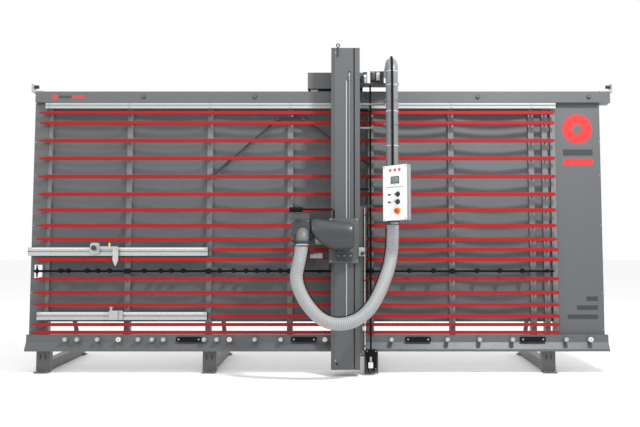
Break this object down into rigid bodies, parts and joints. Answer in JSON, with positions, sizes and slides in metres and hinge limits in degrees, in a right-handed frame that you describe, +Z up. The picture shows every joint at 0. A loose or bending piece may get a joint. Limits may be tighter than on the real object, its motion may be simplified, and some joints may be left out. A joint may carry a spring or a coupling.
{
  "type": "vertical panel saw",
  "caption": "Vertical panel saw: leaning slatted frame, saw column travelling along it on a top rail, swivelling saw head on a lifting carriage, dust hose and control box.",
  "frame": {"origin": "floor level, at the centre of the bounding box", "axes": "+X along the machine to the right, +Y backwards, +Z up"},
  "size_m": [5.222, 1.7793, 2.8876],
  "materials": {
    "frame_paint": "satin",
    "sheet_paint": "matte",
    "slat_red": "satin",
    "black_steel": "satin",
    "head_paint": "satin",
    "box_white": "satin",
    "duct_grey": "satin",
    "bright_steel": "brushed",
    "rail_aluminium": "satin",
    "motor_casting": "cast",
    "weight_iron": "rough",
    "roller_plastic": "matte",
    "black_plastic": "satin",
    "red_plastic": "gloss",
    "hose_plastic": "matte",
    "buffer_rubber": "matte"
  },
  "bodies": {
    "frame": {"top_beam": "frame_paint", "top_rail": "frame_paint", "bottom_beam": "frame_paint", "posts": "frame_paint", "back_sheets": "sheet_paint", "side_panels": "frame_paint", "tension_rods": "black_steel", "slats": "slat_red", "slat_brackets": "frame_paint", "bottom_rollers": "roller_plastic", "roller_pins": "bright_steel", "support_blocks": "black_plastic", "mid_bearings": "black_steel", "stop_rails": "rail_aluminium", "feet": "frame_paint", "floor_beams": "frame_paint", "end_stop_brackets": "frame_paint", "end_buffers": "buffer_rubber"},
    "mid_support": {"mid_shaft": "black_steel", "mid_rollers": "roller_plastic"},
    "upper_stop": {"stop_upper": "rail_aluminium"},
    "stop_flip": {"stop_finger": "bright_steel"},
    "lower_stop": {"stop_lower": "rail_aluminium"},
    "saw_column": {"column": "frame_paint", "lifting_eye": "bright_steel", "top_carriage": "frame_paint", "bottom_guide": "frame_paint", "guide_rollers": "roller_plastic", "cable_strip": "frame_paint", "brake_tube": "black_steel", "bottom_brake": "frame_paint", "valve_boxes": "black_steel", "duct": "duct_grey", "duct_clamps": "black_steel", "control_box": "box_white", "box_fittings": "black_plastic", "box_bracket": "black_steel", "rope_front": "bright_steel", "rope_back": "bright_steel", "hose": "hose_plastic"},
    "wheel_left": {"column_wheel_left": "bright_steel"},
    "wheel_right": {"column_wheel_right": "bright_steel"},
    "balance_weight": {"counterweight": "weight_iron"},
    "pulley": {"rope_pulley": "bright_steel"},
    "dial_lower": {"switch_lower": "black_plastic"},
    "dial_upper": {"switch_upper": "black_plastic"},
    "stop_button": {"estop_button": "red_plastic"},
    "carriage": {"carriage_plate": "frame_paint", "carriage_fittings": "black_steel", "hose_arm": "black_steel", "dust_elbow": "duct_grey"},
    "plunge": {"plunge_plate": "frame_paint"},
    "saw_head": {"blade_hood": "head_paint", "motor_cover": "head_paint", "motor": "motor_casting", "drive_belt": "buffer_rubber", "handle_bar": "black_steel"},
    "blade_shaft": {"arbor": "bright_steel", "saw_blade": "bright_steel"},
    "motor_shaft": {"motor_pulley": "rail_aluminium"}
  },
  "joints": [
    {"name": "column_slide", "type": "slide", "parent": "frame", "child": "saw_column", "axis": [1, 0, 0], "range_m": [-2.43, 1.9]},
    {"name": "wheel_left_roll", "type": "hinge", "parent": "saw_column", "child": "wheel_left", "pos_m": [-0.074, -0.06224, 2.53731], "axis": [0, 0.9962, -0.0872], "range_deg": [-3700, 2900]},
    {"name": "wheel_right_roll", "type": "hinge", "parent": "saw_column", "child": "wheel_right", "pos_m": [0.306, -0.06224, 2.53731], "axis": [0, 0.9962, -0.0872], "range_deg": [-3700, 2900]},
    {"name": "carriage_lift", "type": "slide", "parent": "saw_column", "child": "carriage", "axis": [0, 0.0872, 0.9962], "range_m": [-0.8, 1.12], "deforming": ["hose", "rope_front"]},
    {"name": "weight_slide", "type": "slide", "parent": "saw_column", "child": "balance_weight", "axis": [0, 0.0872, 0.9962], "range_m": [-1.13, 0.81], "deforming": ["rope_back"]},
    {"name": "pulley_turn", "type": "hinge", "parent": "saw_column", "child": "pulley", "pos_m": [0.243, -0.28418, 2.59357], "axis": [1, 0, 0], "range_deg": [-1200, 860]},
    {"name": "head_plunge", "type": "slide", "parent": "carriage", "child": "plunge", "axis": [0, 0.9962, -0.0872], "range_m": [0, 0.07], "stiffness_N_per_m": 300, "springref_m": -0.3},
    {"name": "head_swivel", "type": "hinge", "parent": "plunge", "child": "saw_head", "pos_m": [-0.149, -0.53857, 1.20044], "axis": [0, -0.9962, 0.0872], "range_deg": [0, 90]},
    {"name": "blade_spin", "type": "hinge", "parent": "saw_head", "child": "blade_shaft", "pos_m": [-0.204, -0.43982, 1.26206], "axis": [1, 0, 0], "continuous": true},
    {"name": "motor_spin", "type": "hinge", "parent": "saw_head", "child": "motor_shaft", "pos_m": [-0.068, -0.64355, 1.21665], "axis": [1, 0, 0], "continuous": true},
    {"name": "mid_fold", "type": "hinge", "parent": "frame", "child": "mid_support", "pos_m": [0.021, -0.24081, 0.88629], "axis": [-1, 0, 0], "range_deg": [0, 85]},
    {"name": "upper_stop_slide", "type": "slide", "parent": "frame", "child": "upper_stop", "axis": [1, 0, 0], "range_m": [-0.5, 0.75]},
    {"name": "finger_flip", "type": "hinge", "parent": "upper_stop", "child": "stop_flip", "pos_m": [-1.812, -0.28857, 1.08621], "axis": [0, -0.9962, 0.0872], "range_deg": [0, 90]},
    {"name": "lower_stop_slide", "type": "slide", "parent": "frame", "child": "lower_stop", "axis": [1, 0, 0], "range_m": [-0.6, 0.7]},
    {"name": "dial_lower_turn", "type": "hinge", "parent": "saw_column", "child": "dial_lower", "pos_m": [0.6432, -0.72073, 1.4859], "axis": [-0.6157, -0.785, 0.0687], "range_deg": [0, 90]},
    {"name": "dial_upper_turn", "type": "hinge", "parent": "saw_column", "child": "dial_upper", "pos_m": [0.6432, -0.71515, 1.54966], "axis": [-0.6157, -0.785, 0.0687], "range_deg": [0, 60]},
    {"name": "emergency_stop_push", "type": "slide", "parent": "saw_column", "child": "stop_button", "axis": [0.6157, 0.785, -0.0687], "range_m": [0, 0.006], "stiffness_N_per_m": 500, "springref_m": -0.012}
  ],
  "couplings": [
    {"joint": "wheel_left_roll", "follows": "column_slide", "rad_per_m": 26.316},
    {"joint": "wheel_right_roll", "follows": "column_slide", "rad_per_m": 26.316},
    {"joint": "weight_slide", "follows": "carriage_lift", "ratio": -1},
    {"joint": "pulley_turn", "follows": "carriage_lift", "rad_per_m": -18.182},
    {"joint": "motor_spin", "follows": "blade_spin", "ratio": 0.8092}
  ]
}
